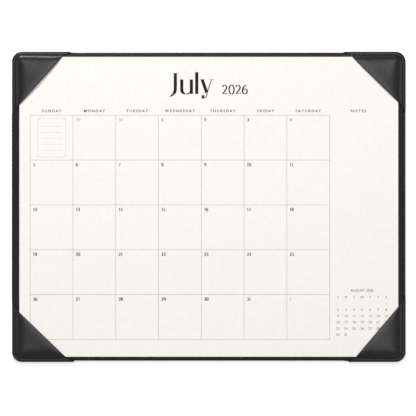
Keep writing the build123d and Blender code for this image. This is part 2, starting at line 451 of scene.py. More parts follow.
def outline_stations():
    """Base points and outward directions round the holder, corner by corner and side by side."""
    stations = []
    for turn, ((sx, sy), (along_x, along_y)) in enumerate(zip(CORNERS, SIDES)):
        x, y = sx * (HALF_X - OUTER_RADIUS), sy * (HALF_Y - OUTER_RADIUS)
        for i in range(ARC_STEPS + 1):
            angle = math.pi / 2 * (turn + i / ARC_STEPS)
            stations.append(((x, y), (math.cos(angle), math.sin(angle))))
        span = 2 * (HALF_X - OUTER_RADIUS) if turn % 2 == 0 else 2 * (HALF_Y - OUTER_RADIUS)
        count = round(span / SIDE_STEP)
        for i in range(1, count):
            base = (x + along_x * span * i / count, y + along_y * span * i / count)
            stations.append((base, (math.cos(angle), math.sin(angle))))
    return stations


print(len(outline_stations()), "stations round the holder")

# %% [markdown]
# ## The cover
# The cover is one sheet of leatherette, drawn over the board and glued underneath. Between the pad and
# the outer edge it falls in a gentle slope, and it can't turn a sharp edge, so the slope ends in a soft
# round. A slow noise of less than a tenth of a millimetre keeps the margin from looking machined. Its
# rows run round the holder from the hem underneath, over the edge, to the flat under the pad. The
# board below falls in the same way, because a sharp board would cut through the leatherette.

# %% Draw the cover over the board
MARGIN_WIDE, MARGIN_FALL = 10.0 * MM, 1.8 * MM
ROUND_WIDE, ROUND_FALL = 4.0 * MM, 0.9 * MM
FLAT_START, WAVER_FADE = 11.0 * MM, 4.0 * MM
COVER_FOOT, COVER_WAVER, COVER_THICK = 1.1 * MM, 0.07 * MM, 0.35 * MM
SWELL_FROM, SWELL_OVER = 78 * MM, 14 * MM
SWELL_RIGHT, SWELL_LEFT, SWELL_FAR, SWELL_NEAR = 0.55 * MM, 1.1 * MM, -0.5 * MM, -1.15 * MM
BOARD_LOW, BOARD_TOP = (corner.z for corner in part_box("base_board"))


def cover_drop(inset):
    """How far the cover has fallen below its flat: a straight slope that ends in a round."""
    out = max(0.0, 1 - inset / ROUND_WIDE)
    return MARGIN_FALL * max(0.0, 1 - inset / MARGIN_WIDE) + ROUND_FALL * (1 - math.sqrt(1 - out**2))


def slope(start, top):
    """The slope as (inset, height), from start to the flat, close together where it is round."""
    insets = [start + (MARGIN_WIDE - start) * (i / 16) ** 2 for i in range(17)]
    return [(inset, top - cover_drop(inset)) for inset in insets] + [(FLAT_START, top)]


def foot_round(radius, level):
    """A quarter round from the underside up to the wall, as (inset, height)."""
    angles = [math.pi / 2 * i / 6 for i in range(7)]
    return [(radius * (1 - math.sin(a)), level + radius * (1 - math.cos(a))) for a in angles]


def cover_profile():
    """The cover's outer face as (inset, height), from the hem's end to the flat under the pad."""
    hem = [(inset * MM, COVER_LOW) for inset in (11, 6, 3)]
    return hem + foot_round(COVER_FOOT, COVER_LOW) + slope(0.0, COVER_TOP)


def board_profile():
    """The board under the cover, sanded to the same slope."""
    below = [(FLAT_START, BOARD_LOW), (1.2 * MM, BOARD_LOW), (0.8 * MM, BOARD_LOW + 0.1 * MM)]
    return below + slope(0.9 * MM, BOARD_TOP)


def between_pockets(x, y, dx, dy):
    """Away from the pockets the padding swells over the sides and draws in the far and near edges."""
    if abs(dx) > 0.999:
        swell = SWELL_RIGHT if dx > 0 else SWELL_LEFT
        return swell * smooth((HALF_Y - abs(y) - SWELL_FROM) / SWELL_OVER)
    if abs(dy) > 0.999:
        swell = SWELL_FAR if dy > 0 else SWELL_NEAR
        return swell * smooth((HALF_X - abs(x) - SWELL_FROM) / SWELL_OVER)
    return 0.0


def add_plate(bm, profile):
    """Adds rows of points round the holder, one for each point of the profile, and closes the top."""
    rows = []
    for inset, height in profile:
        inset += COVER_INSET
        on_top = smooth((height - COVER_LOW) / (COVER_TOP - COVER_LOW) * 2 - 0.8)
        fade = smooth((FLAT_START - inset) / WAVER_FADE)
        row = []
        for (base_x, base_y), (dx, dy) in outline_stations():
            reach = OUTER_RADIUS - inset + between_pockets(base_x, base_y, dx, dy)
            x, y = base_x + dx * reach, base_y + dy * reach
            waver = noise.noise(Vector((x * 22, y * 22, height * 60))) * COVER_WAVER
            row.append((x, y, height + min(0.0, waver) * on_top * fade))
        rows.append(row)
    grid = add_rows(bm, rows, closed=True)
    bm.faces.new(grid[-1])
    return grid


def make_board():
    bm = bmesh.new()
    bm.faces.new(add_plate(bm, board_profile())[0])
    bmesh.ops.recalc_face_normals(bm, faces=bm.faces)
    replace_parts(add_piece("board_sanded", bm, GREY_BOARD, "core_board"), "base_board")


def make_cover():
    bm = bmesh.new()
    add_plate(bm, cover_profile())
    bmesh.ops.recalc_face_normals(bm, faces=bm.faces)
    cover = add_piece("cover_leatherette", bm, LEATHERETTE, "leatherette")
    thicken(cover, COVER_THICK)
    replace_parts(cover, "top_cover")


make_board()
make_cover()

# %% [markdown]
# ## The pockets
# Each pocket is a triangle of leatherette over a thin card. Its outer edges wrap round the base and
# are sewn down, the middle is pushed up by the pad and the card, and the mouth's edge is folded back
# under itself. So its face runs like this, from the outside in: hem underneath, rounded edge, a rim
# with the seam pressed into it, a rise that eases until it is level, and the rolled mouth.
# The four pockets were sewn a little out of square, so each one takes its size from its own solid.


# %% Lay out a pocket
class Pocket:
    """One corner pocket, measured inwards from the holder's outer corner along X and along Y."""

    def __init__(self, name, side_x, side_y, opening):
        self.name = name
        self.side_x, self.side_y = side_x, side_y
        self.opening = opening
        low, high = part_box(f"pocket_leather_{name}")
        self.reach_x = high.x - low.x - MOUTH_FLARE
        self.reach_y = high.y - low.y - MOUTH_FLARE
        self.length = math.hypot(self.reach_x, self.reach_y)

    def world(self, along_x, along_y, height):
        return (self.side_x * (HALF_X - along_x), self.side_y * (HALF_Y - along_y), height)

    def inset(self, along_x, along_y):
        """The distance from the outer edge. Past the round corner the sides' distances meet softly."""
        if along_x < OUTER_RADIUS and along_y < OUTER_RADIUS:
            return OUTER_RADIUS - math.hypot(OUTER_RADIUS - along_x, OUTER_RADIUS - along_y)
        nearer = min(along_x, along_y)
        spread = max(0.01 * MM, 0.4 * (nearer - OUTER_RADIUS))
        return nearer - spread * math.log(1 + math.exp(-abs(along_x - along_y) / spread))

    def behind_mouth(self, along_x, along_y):
        """How far a point lies behind the mouth's line, towards the corner."""
        area = self.reach_x * self.reach_y
        return (area - self.reach_y * along_x - self.reach_x * along_y) / self.length

    def end_at(self, inset, reach, other_reach):
        """Where a row at this inset ends: on the mouth's line, or on its flare over the rim."""
        def on_line(at):
            return (reach * other_reach - NOSE * self.length - reach * at) / other_reach

        if inset >= WALL_INSET:
            return on_line(inset)
        outer, inner = reach + MOUTH_FLARE, on_line(WALL_INSET)
        return outer + (inner - outer) * smooth(inset / WALL_INSET)

    def row_ends(self, inset):
        """Both ends of a row, along X and along Y."""
        lengths = (self.reach_x, self.reach_y), (self.reach_y, self.reach_x)
        return [self.end_at(inset, *reaches) for reaches in lengths]

    def stitch_counts(self):
        """How many stitches lie on each straight run and round the corner, and each run's end."""
        def end(reach, other):
            at_edge = reach + MOUTH_FLARE
            at_wall = reach * (1 - WALL_INSET / other)
            return at_edge + (at_wall - at_edge) * STITCH_INSET / WALL_INSET - STITCH_END_INSET

        ends = end(self.reach_x, self.reach_y), end(self.reach_y, self.reach_x)
        counts = [round((length - OUTER_RADIUS) / STITCH_PITCH) for length in ends]
        turn = max(2, round((OUTER_RADIUS - STITCH_INSET) * math.pi / 2 / STITCH_PITCH))
        return counts, turn, ends


POCKETS = [
    Pocket("back_left", -1, 1, 1.0),
    Pocket("back_right", 1, 1, 0.8),
    Pocket("front_left", -1, -1, 0.8),
    Pocket("front_right", 1, -1, 0.25),
]
for pocket in POCKETS:
    print(pocket.name, round(pocket.reach_x / MM, 1), "x", round(pocket.reach_y / MM, 1), "mm")

# %% [markdown]
# ## The seam's places
# The leather is pressed down most at the needle holes, and the thread bridges from hole to hole. Both
# the leather and the thread need the holes' places, so one function gives them.


# %% Mark the needle holes
def seam_runs(pocket):
    """The needle holes as three runs of points: one edge, the round corner, the other edge."""
    (count_x, count_y), turn, (end_x, end_y) = pocket.stitch_counts()
    radius = OUTER_RADIUS - STITCH_INSET
    step_x = (end_x - OUTER_RADIUS) / count_x
    step_y = (end_y - OUTER_RADIUS) / count_y
    angles = [math.pi / 2 * i / turn for i in range(turn + 1)]
    return [
        [(end_x - i * step_x, STITCH_INSET) for i in range(count_x + 1)],
        [(OUTER_RADIUS - radius * math.sin(a), OUTER_RADIUS - radius * math.cos(a)) for a in angles],
        [(STITCH_INSET, OUTER_RADIUS + i * step_y) for i in range(count_y + 1)],
    ]


def hole_dip(pocket):
    """A function that says how near a point lies to a needle hole, from 0 to 1."""
    holes = sorted({(round(x, 7), round(y, 7)) for run in seam_runs(pocket) for x, y in run})
    keys = [hole[0] for hole in holes]

    def nearness(x, y):
        first = bisect.bisect_left(keys, x - HOLE_REACH)
        last = bisect.bisect_right(keys, x + HOLE_REACH)
        aways = [math.hypot(x - hole_x, y - hole_y) for hole_x, hole_y in holes[first:last]]
        return smooth(1 - min(aways, default=HOLE_REACH) / HOLE_REACH)

    return nearness


# %% [markdown]
# ## Mould the leather
# The height of the leather depends on three things: how far in from the edge a point lies, how near
# it is to the seam, and how near it is to the mouth, where the middle gapes a little.

# %% Give the leather its height
RIM_SHOULDER_WIDE, RIM_SHOULDER_TALL, RIM_SLOPE = 2.4 * MM, 2.2 * MM, 0.09
RISE_START, RISE_REACH = 4.7 * MM, 4.6 * MM
PLATEAU = FLAP_TOP + 0.3 * MM
GAPE, GAPE_REACH = 1.1 * MM, 20.0 * MM
GROOVE_WIDE, GROOVE_DEEP, HOLE_DEEP = 0.65 * MM, 0.05 * MM, 0.85 * MM
FOLD_FALL, FOLD_REACH = 0.75 * MM, 0.9 * MM
HEM_MARK, HEM_MARK_AT, HEM_MARK_WIDE = 0.1 * MM, 3.4 * MM, 0.5 * MM
FACE_WAVER = 0.1 * MM


def shoulder_drop(inset):
    """How far the leather has fallen below the rim, on its way round the base's edge."""
    out = max(0.0, 1 - inset / RIM_SHOULDER_WIDE)
    lean = RIM_SLOPE * max(0.0, RISE_START - inset)
    return lean + RIM_SHOULDER_TALL * (1 - math.sqrt(1 - out**2))


def leather_height(pocket, nearness, inset, x, y):
    rise = 1 - math.exp(-max(0.0, inset - RISE_START) / RISE_REACH)
    behind = max(0.0, pocket.behind_mouth(x, y))
    along = (x * pocket.reach_x - y * pocket.reach_y + pocket.reach_y**2) / pocket.length**2
    gape = GAPE * pocket.opening * math.sin(math.pi * min(1.0, max(0.0, along))) ** 1.4
    gape *= math.exp(-((behind / GAPE_REACH) ** 2))
    fold = FOLD_FALL * math.exp(-behind / FOLD_REACH)
    fold += HEM_MARK * math.exp(-(((behind - HEM_MARK_AT) / HEM_MARK_WIDE) ** 2))
    waver = FACE_WAVER * noise.noise(Vector((x * 45, y * 45, pocket.side_x * 3 + pocket.side_y)))
    groove = math.exp(-(((inset - STITCH_INSET) / GROOVE_WIDE) ** 2))
    dent = (GROOVE_DEEP + HOLE_DEEP * nearness(x, y)) * groove
    level = RIM_TOP + (PLATEAU - RIM_TOP) * rise - shoulder_drop(inset)
    return level - dent + (gape + waver - fold) * smooth(rise)


print("the leather rises", round((PLATEAU - RIM_TOP) / MM, 2), "mm from the rim")

# %% [markdown]
# ## Lay the rows
# Each row follows the outer edge from one end of the mouth to the other, with six points to a stitch.
# The rows run from the hem underneath, round the edge and up the slope. From there a fan of rows draws
# in to the mouth's line, closest together near it, where the leather folds.

# %% Lay the leather's rows
PER_STITCH, FAN_ROWS, FAN_POWER = 6, 36, 1.6
POCKET_FOOT = 1.9 * MM
FACE_INSETS = [(3.3 + 0.2 * i) * MM for i in range(20)] + [(7.3 + 0.23 * i) * MM for i in range(11)]
FIRST_HEMMED = 10


def pocket_stations(pocket):
    """Functions of the inset that give each point of a row, from one mouth end to the other."""
    (count_x, count_y), turn, _ = pocket.stitch_counts()
    steps_x, steps_turn, steps_y = (count * PER_STITCH for count in (count_x, turn, count_y))

    def along_x(share):
        return lambda inset, end: (end[0] + (OUTER_RADIUS - end[0]) * share, inset)

    def round_corner(angle):
        return lambda inset, end: (
            OUTER_RADIUS - (OUTER_RADIUS - inset) * math.sin(angle),
            OUTER_RADIUS - (OUTER_RADIUS - inset) * math.cos(angle),
        )

    def along_y(share):
        return lambda inset, end: (inset, OUTER_RADIUS + (end[1] - OUTER_RADIUS) * share)

    stations = [along_x(i / steps_x) for i in range(steps_x)]
    stations += [round_corner(math.pi / 2 * i / steps_turn) for i in range(steps_turn)]
    return stations + [along_y(i / steps_y) for i in range(steps_y + 1)]


def edge_profile():
    """The wrapped edge as (inset, height), from the hem's end underneath up to the rim."""
    hem = [(7.5 * MM, HEM_LEVEL), (4.5 * MM, HEM_LEVEL)]
    insets = [3.1 * MM * (i / 11) ** 2 for i in range(12)]
    shoulder = [(inset, RIM_TOP - shoulder_drop(inset)) for inset in insets]
    return hem + foot_round(POCKET_FOOT, HEM_LEVEL) + shoulder


def make_pocket(pocket):
    nearness = hole_dip(pocket)
    stations = pocket_stations(pocket)

    def on_face(inset, x, y):
        return pocket.world(x, y, leather_height(pocket, nearness, inset, x, y))

    rows = []
    for inset, height in edge_profile():
        ends = pocket.row_ends(0.0 if height < RIM_TOP - MM else inset)
        rows.append([pocket.world(*place(inset, ends), height) for place in stations])
    for inset in FACE_INSETS:
        ends = pocket.row_ends(inset)
        last_row = [place(inset, ends) for place in stations]
        rows.append([on_face(inset, x, y) for x, y in last_row])

    (start_x, start_y), (stop_x, stop_y) = last_row[0], last_row[-1]
    shares = [i / (len(last_row) - 1) for i in range(len(last_row))]
    line = [(start_x + (stop_x - start_x) * share, start_y + (stop_y - start_y) * share) for share in shares]
    for k in range(1, FAN_ROWS + 1):
        share = 1 - (1 - k / FAN_ROWS) ** FAN_POWER
        row = [(x + (tx - x) * share, y + (ty - y) * share) for (x, y), (tx, ty) in zip(last_row, line)]
        rows.append([on_face(pocket.inset(x, y), x, y) for x, y in row])

    bm = bmesh.new()
    grid = add_rows(bm, rows)
    add_rolled_mouth(bm, pocket, grid, len(edge_profile()) + FIRST_HEMMED, len(rows) - FAN_ROWS)
    collapse(bm)
    leather = add_piece(f"pocket_{pocket.name}", bm, LEATHERETTE, "leatherette")
    skive(leather)
    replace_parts(leather, f"pocket_leather_{pocket.name}")


# %% [markdown]
# ## Roll the mouth's edge
# The mouth's edge is folded back under the flap. The fold is a half circle, and behind it the leather
# is pared thin, or skived, so that the hem doesn't make a step. Near the rim the flap is low, so the
# hem is cut shorter there, or it would come out through the slope.

# %% Roll and skive
ROLL_STEPS, HEM_WIDE, HEM_ROOM = 8, 4.2 * MM, 0.18
HEM_DEPTH = PLATEAU - 0.85 * MM - LINING_LOW
LEATHER_THICK, SKIVED_SHARE = 0.65 * MM, 0.4


def add_rolled_mouth(bm, pocket, grid, first_hemmed_row, first_fan_row):
    """Continues the face round the mouth's edge and back underneath as a hem."""
    away_x, away_y = -pocket.side_x * pocket.reach_y, -pocket.side_y * pocket.reach_x
    outward = Vector((away_x / pocket.length, away_y / pocket.length, 0))
    hemmed = grid[first_hemmed_row:first_fan_row]
    edge = [row[0] for row in hemmed] + grid[-1][1:-1] + [row[-1] for row in reversed(hemmed)]
    rows = [edge]
    for k in range(1, ROLL_STEPS + 3):
        angle = math.pi * min(k, ROLL_STEPS) / ROLL_STEPS
        back = max(0, k - ROLL_STEPS) / 2 * HEM_WIDE
        row = []
        for vert in edge:
            fall = min(HEM_DEPTH, vert.co.z - COVER_TOP) / 2
            swell = min(1.0, 1.5 * (2 * fall / HEM_DEPTH) ** 2)
            inset = pocket.inset(HALF_X - abs(vert.co.x), HALF_Y - abs(vert.co.y))
            room = min(1.0, HEM_ROOM * math.exp((inset - RISE_START) / RISE_REACH))
            point = vert.co + outward * (NOSE * math.sin(angle) * swell - back * room)
            row.append(bm.verts.new((point.x, point.y, vert.co.z - fall * (1 - math.cos(angle)))))
        rows.append(row)
    for near, far in zip(rows, rows[1:]):
        for i in range(len(edge) - 1):
            bm.faces.new((near[i], near[i + 1], far[i + 1], far[i]))


def skive(leather):
    """Thins the hem under the flap and the slope over the pad's corner, and thickens the whole skin."""
    group = leather.vertex_groups.new(name="full_thickness")
    for vert in leather.data.vertices:
        inset = min(HALF_X - abs(vert.co.x), HALF_Y - abs(vert.co.y))
        hem = LINING_LOW - 0.1 * MM < vert.co.z < LINING_LOW + 1.0 * MM and inset > 8 * MM
        rising = vert.co.z > RIM_TOP + 0.3 * MM and inset < 13 * MM
        group.add([vert.index], SKIVED_SHARE if hem or rising else 1.0, "REPLACE")
    thicken(leather, LEATHER_THICK, group.name)


for pocket in POCKETS:
    make_pocket(pocket)

# %% [markdown]
# ## The cards in the flaps
# Under each flap lie a card and a lining. They are trimmed evenly all round, because their corners
# would otherwise come out through the leather where it slopes down to the rim.

# %% Trim the cards and linings
CARD_SHARE = 0.82


def trim(pocket, name):
    """Shrinks a triangular layer about the centre of the circle that fits inside it."""
    low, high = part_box(name)
    wide, tall = high.x - low.x, high.y - low.y
    radius = (wide + tall - math.hypot(wide, tall)) / 2
    centre_x = (high.x - radius) if pocket.side_x > 0 else (low.x + radius)
    centre_y = (high.y - radius) if pocket.side_y > 0 else (low.y + radius)
    solid = frame["nodes"][name]
    bm = bmesh.new()
    bm.from_mesh(solid.data)
    bm.transform(solid.matrix_world)
    for vert in bm.verts:
        vert.co.x = centre_x + (vert.co.x - centre_x) * CARD_SHARE
        vert.co.y = centre_y + (vert.co.y - centre_y) * CARD_SHARE
    slot = slot_of[name]
    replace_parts(add_piece(f"{name}_trimmed", bm, FINISHES[slot], slot), name)


for pocket in POCKETS:
    for layer in ("stiffener", "lining"):
        trim(pocket, f"pocket_{layer}_{pocket.name}")

# %% [markdown]
# ## The threads
# Sewing thread is two or more plies twisted together, which shows as slanting bumps. Each stitch is a
# tube with a two-lobed section that turns as it goes, diving into the holes at both ends. The needle
# thread lies on the rim and the bobbin thread underneath, so one function makes both.


# %% Sew the seams
THREAD_SIDES, THREAD_RINGS = 10, 17
TWIST_LENGTH, THREAD_WANDER, THREAD_LIFT = 1.7 * MM, 0.06 * MM, 0.1 * MM
DIVE = 1.3 * MM


def add_stitch(bm, start, end, level, dive, seed):
    """One stitch of twisted thread from one hole to the next. dive is its fall into the holes."""
    start, end = Vector((*start, level)), Vector((*end, level))
    run = end - start
    length = run.length
    along = run / length
    across = Vector((-along.y, along.x, 0))
    inset = THREAD_RADIUS + 0.05 * MM
    grid = []
    for i in range(THREAD_RINGS):
        share = i / (THREAD_RINGS - 1)
        drop = abs(2 * share - 1) ** 3
        centre = start + along * (inset + (length - 2 * inset) * share)
        centre.z -= dive * drop
        centre += across * noise.noise(Vector((seed * 3.7, share * 2, 0))) * THREAD_WANDER
        turn = 2 * math.pi * share * length / TWIST_LENGTH
        row = []
        for k in range(THREAD_SIDES):
            angle = 2 * math.pi * k / THREAD_SIDES
            lobe = THREAD_RADIUS * (0.88 + 0.2 * math.cos(angle - turn) ** 2) * (1 - 0.35 * drop)
            row.append(centre + across * lobe * math.cos(angle) + Vector((0, 0, lobe * math.sin(angle))))
        grid.append(row)
    rows = add_rows(bm, grid, closed=True)
    bm.faces.new(list(reversed(rows[0])))
    bm.faces.new(rows[-1])


def make_seam(pocket, name, level, dive):
    bm = bmesh.new()
    steps = [step for run in seam_runs(pocket) for step in zip(run, run[1:])]
    for number, holes in enumerate(steps, 1):
        ends = [pocket.world(x, y, 0)[:2] for x, y in holes]
        add_stitch(bm, *ends, level, dive, number)
    bmesh.ops.recalc_face_normals(bm, faces=bm.faces)
    seam = add_piece(f"{name}_{pocket.name}_twisted", bm, THREAD, "thread")
    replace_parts(seam, f"{name}_{pocket.name}")


for pocket in POCKETS:
    make_seam(pocket, "needle_thread", RIM_TOP + THREAD_LIFT, DIVE)
    make_seam(pocket, "bobbin_thread", HEM_LEVEL - THREAD_LIFT, -DIVE)

# %% [markdown]
# ## The pages
# A pad is a stack of loose sheets, glued along the far edge only. Its sheets are never perfectly flush,
# and the near edge lifts a little between the pockets that hold its corners. Each page is a thin closed
# grid. The top one gets close rows across the band where it would bend if it were lifted, so that a bend
# there would curl and not crease.

# %% Describe a page
PAGE_LOW, PAGE_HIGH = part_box("sheet_02_august")
PAGE_HALF_X, PAGE_HALF_Y = PAGE_HIGH.x, PAGE_HIGH.y
PAGE_THICKNESS = PAGE_HIGH.z - PAGE_LOW.z
TOP_PAGE_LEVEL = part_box("sheet_01_july_free_end")[0].z
NEAR_LIFT, LIFTED_SHARE = 0.55 * MM, 0.86
COLUMN_STEP, LOWER_ROW_STEP = 9 * MM, 18 * MM
BEND_START, BEND_END = 0.152, 0.102
PAGES = sorted((name for name in frame["nodes"] if name.startswith("sheet_")), reverse=True)
print(len(PAGES), "paper solids,", round(PAGE_THICKNESS / MM, 2), "mm thick")


def page_lift(x, y):
    """How far the top page stands off the pad: most at the near edge, midway between the pockets."""
    away = (PAGE_HALF_Y - y) / (2 * PAGE_HALF_Y)
    between = max(0.0, math.cos(math.pi / 2 * x / (LIFTED_SHARE * PAGE_HALF_X)))
    ripple = 1 + 0.12 * noise.noise(Vector((x * 5, 3.1, 0)))
    return NEAR_LIFT * away**3 * between**1.5 * ripple


def spaced(start, stop, step):
    count = max(1, round(abs(stop - start) / step))
    return [start + (stop - start) * i / count for i in range(count + 1)]


PAGE_COLUMNS = spaced(-PAGE_HALF_X, PAGE_HALF_X, COLUMN_STEP)
PAGE_ROWS = spaced(PAGE_HALF_Y, BEND_START, COLUMN_STEP)[:-1] + spaced(BEND_START, BEND_END, MM)
PAGE_ROWS += spaced(BEND_END, -PAGE_HALF_Y, COLUMN_STEP)[1:]


def make_page(name, level, lift, shift, rows):
    """One sheet of paper. lift is its share of the top page's lift, shift moves it out of line."""
    bm = bmesh.new()
    grids = []
    for rise in (0.0, PAGE_THICKNESS):
        points = [
            [(x + shift[0], y + shift[1], level + rise + lift * page_lift(x, y)) for x in PAGE_COLUMNS]
            for y in rows
        ]
        grids.append(add_rows(bm, points))
    below, above = grids
    rings = []
    for grid in (below, above):
        left, right = [row[0] for row in grid], [row[-1] for row in grid]
        rings.append(grid[0] + right[1:] + list(reversed(grid[-1]))[1:] + list(reversed(left))[1:-1])
    for i, vert in enumerate(rings[0]):
        j = (i + 1) % len(rings[0])
        bm.faces.new((vert, rings[0][j], rings[1][j], rings[1][i]))
    bmesh.ops.recalc_face_normals(bm, faces=bm.faces)
    return new_object(name, bm, PAPER, "paper")


# %% [markdown]
# ## Stack the pad
# The lower sheets are cut with the pad and hardly differ, but a few tenths of a millimetre of drift is
# what lets the eye count them from the side.

# %% Stack the sheets
drift = random.Random(7)
lower_rows = spaced(PAGE_HALF_Y, -PAGE_HALF_Y, LOWER_ROW_STEP)
lower_pages = [name for name in PAGES if not name.startswith("sheet_01")]
for number, name in enumerate(lower_pages):
    shift = (drift.uniform(-0.25, 0.25) * MM, drift.uniform(-0.3, 0.0) * MM)
    lift = number / len(lower_pages)
    page = make_page(f"page_{name[6:]}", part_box(name)[0].z, lift, shift, lower_rows)
    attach(page, "calendar_pad")
    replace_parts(page, name)
july = make_page("page_01_july", TOP_PAGE_LEVEL, 1.0, (0, 0), PAGE_ROWS)


def bend_with_top_page(piece):
    """Bakes a piece's placement into its mesh. The band where the top page would bend is worked out but not
    used.
    """
    start, end = (0, BEND_START, TOP_PAGE_LEVEL), (0, BEND_END, TOP_PAGE_LEVEL)
    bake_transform(piece)
    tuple(start)
    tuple(end)


bend_with_top_page(july)
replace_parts(july, "sheet_01_july_bound_end", "sheet_01_july_free_end")
print("stacked", len(lower_pages) + 1, "pages")

# %% [markdown]
# ## Print on the pages
# Ink could be painted by the paper's material, but a month page is lines and letters with sharp edges,
# and geometry keeps those sharp from any distance. So each print is a film about a hundredth of a
# millimetre thick that lies on the page and bends with it.
#
# The big month name is drawn with a broad pen held level: a stroke is thick where it runs up and down
# and thin where it runs across. Every letter is then just the path of the pen.


# %% Draw with a broad pen
def arc(x, y, wide, tall, start, stop, count=20):
    """Points on an ellipse about (x, y), between two angles in degrees."""
    angles = [math.radians(start + (stop - start) * i / count) for i in range(count + 1)]
    return [(x + wide * math.cos(a), y + tall * math.sin(a)) for a in angles]


def add_stroke(bm, path, thick, thin):
    """A stroke of a level pen along a path of (x, y) points."""
    sides = []
    for i, (x, y) in enumerate(path):
        x_before, y_before = path[max(0, i - 1)]
        x_after, y_after = path[min(len(path) - 1, i + 1)]
        run, climb = x_after - x_before, y_after - y_before
        length = math.hypot(run, climb)
        half = (thick * abs(climb) + thin * abs(run)) / length / 2
        across, up = -climb / length * half, run / length * half
        sides.append((bm.verts.new((x + across, y + up, 0)), bm.verts.new((x - across, y - up, 0))))
    for (left, right), (next_left, next_right) in zip(sides, sides[1:]):
        bm.faces.new((left, right, next_right, next_left))


# %% [markdown]
# ## The pen's letters
# The paths are in shares of the letter's height, from its baseline. A weight beside a path says how much
# of the pen's thickness it takes, because the rising arm of a y is drawn thinner than the falling one.


# %% Write down the paths
def bar(x_from, x_to, y):
    """A level stroke, such as a serif."""
    return (1, [(x_from, y), (x_to, y)])


def ring(x, y, wide, tall):
    """A closed oval."""
    return (1, arc(x, y, wide, tall, 90, 450, 32))


GLYPHS = {
    "0": (0.66, [ring(0.33, 0.5, 0.28, 0.5)]),
    "1": (0.5, [(1, [(0.27, 1), (0.27, 0)]), (1, [(0.1, 0.84), (0.25, 0.98)]), bar(0.1, 0.44, 0)]),
    "2": (0.6, [
        (1, arc(0.27, 0.72, 0.22, 0.28, 165, -40) + [(0.3, 0.32), (0.05, 0.03)]),
        (1, [(0.04, 0.02), (0.52, 0.02), (0.54, 0.12)]),
    ]),
    "3": (0.58, [
        (1, arc(0.26, 0.77, 0.2, 0.23, 150, -90)),
        (1, arc(0.25, 0.27, 0.25, 0.27, 90, -150)),
    ]),
    "4": (0.62, [(1, [(0.4, 1), (0.4, 0)]), (0.3, [(0.4, 0.98), (0.03, 0.3)]), bar(0.02, 0.58, 0.29)]),
    "5": (0.58, [
        bar(0.12, 0.5, 0.98),
        (0.4, [(0.13, 0.98), (0.1, 0.56)]),
        (1, arc(0.25, 0.31, 0.26, 0.31, 125, -150)),
    ]),
    "6": (0.62, [(1, arc(0.58, 0.32, 0.54, 0.67, 100, 180)), ring(0.31, 0.29, 0.25, 0.29)]),
    "7": (0.56, [bar(0.04, 0.53, 0.98), (0.8, [(0.52, 0.97), (0.36, 0.5), (0.24, 0)])]),
    "8": (0.6, [ring(0.3, 0.77, 0.2, 0.23), ring(0.3, 0.27, 0.25, 0.27)]),
    "9": (0.62, [(1, arc(0.04, 0.68, 0.54, 0.67, -80, 0)), ring(0.31, 0.71, 0.25, 0.29)]),
    "J": (0.416, [
        (1, [(0.24, 0.99), (0.24, 0.4), (0.235, 0.2), (0.215, 0.1), (0.17, 0.02)]),
        (0.7, [(0.175, 0.03), (0.1, -0.05), (0.02, -0.1)]),
        (0.3, [(0.03, -0.095), (-0.05, -0.13)]),
        bar(0.12, 0.36, 0.985),
    ]),
    "u": (0.716, [
        (1, [(0.13, 0.69), (0.13, 0.3)] + arc(0.34, 0.2, 0.21, 0.2, 180, 300)),
        (0.4, arc(0.34, 0.22, 0.24, 0.22, 285, 350)),
        (1, [(0.59, 0.69), (0.59, 0.0)]),
        bar(0.04, 0.14, 0.685),
        bar(0.5, 0.6, 0.685),
        bar(0.59, 0.68, 0.01),
    ]),
    "l": (0.267, [(1, [(0.13, 1.04), (0.13, 0)]), bar(0.04, 0.14, 1.03), bar(0.04, 0.22, 0.01)]),
    "y": (0.62, [
        (1, [(0.12, 0.69), (0.34, 0.06)]),
        (0.25, [(0.57, 0.69), (0.36, 0.06)] + arc(0.17, 0.0, 0.18, 0.21, 0, -90)),
        (0.9, arc(0.1, -0.13, 0.06, 0.07, -100, 60)),
        bar(0.02, 0.24, 0.685),
        bar(0.48, 0.68, 0.685),
    ]),
    "A": (0.78, [
        (0.25, [(0.36, 1.0), (0.06, 0)]),
        (1, [(0.38, 1.0), (0.68, 0)]),
        bar(0.15, 0.58, 0.33),
        bar(0.0, 0.15, 0.01),
        bar(0.57, 0.78, 0.01),
    ]),
    "g": (0.62, [
        ring(0.28, 0.47, 0.2, 0.21),
        (0.4, [(0.42, 0.62), (0.6, 0.67)]),
        (0.5, arc(0.26, 0.17, 0.14, 0.08, 90, 260)),
        (1, arc(0.3, -0.08, 0.25, 0.14, 80, 440, 32)),
    ]),
    "s": (0.46, [(1, arc(0.23, 0.52, 0.15, 0.16, 30, 260)), (1, arc(0.22, 0.18, 0.17, 0.18, 85, -150))]),
    "t": (0.4, [
        (1, [(0.17, 0.9), (0.17, 0.2)] + arc(0.3, 0.16, 0.13, 0.15, 180, 290)),
        bar(0.03, 0.36, 0.66),
    ]),
}


def pen_text(bm, text, x, y, height, thick, thin, gap=0.0):
    """Writes text with the pen from (x, y) to the right and returns where it ends."""
    for letter in text:
        width, strokes = GLYPHS[letter]
        for weight, path in strokes:
            placed = [(x + px * height, y + py * height) for px, py in path]
            add_stroke(bm, placed, thick * weight, thin)
        x += (width + gap) * height
    return x


# %% [markdown]
# ## Small type and lines
# The weekdays and the small month are plain letters only a few millimetres tall, so Blender's own
# typeface serves. Its size is set by the height of its capitals, which is measured here once.


# %% Set small type
def type_mesh(text, size, spacing=1.0, weight=0.0):
    """The outlines of a line of type as a flat mesh, centred on its own middle."""
    curve = bpy.data.curves.new("type", "FONT")
    curve.body = text
    curve.size = size
    curve.space_character = spacing
    curve.offset = weight
    curve.align_x = "CENTER"
    curve.resolution_u = 3
    line = bpy.data.objects.new("type", curve)
    mesh = bpy.data.meshes.new_from_object(line)
    bpy.data.objects.remove(line)
    bpy.data.curves.remove(curve)
    return mesh


CAPITAL_SHARE = max(vert.co.y for vert in type_mesh("H", 1.0).vertices)
print("capitals are", round(CAPITAL_SHARE, 3), "of the type size")


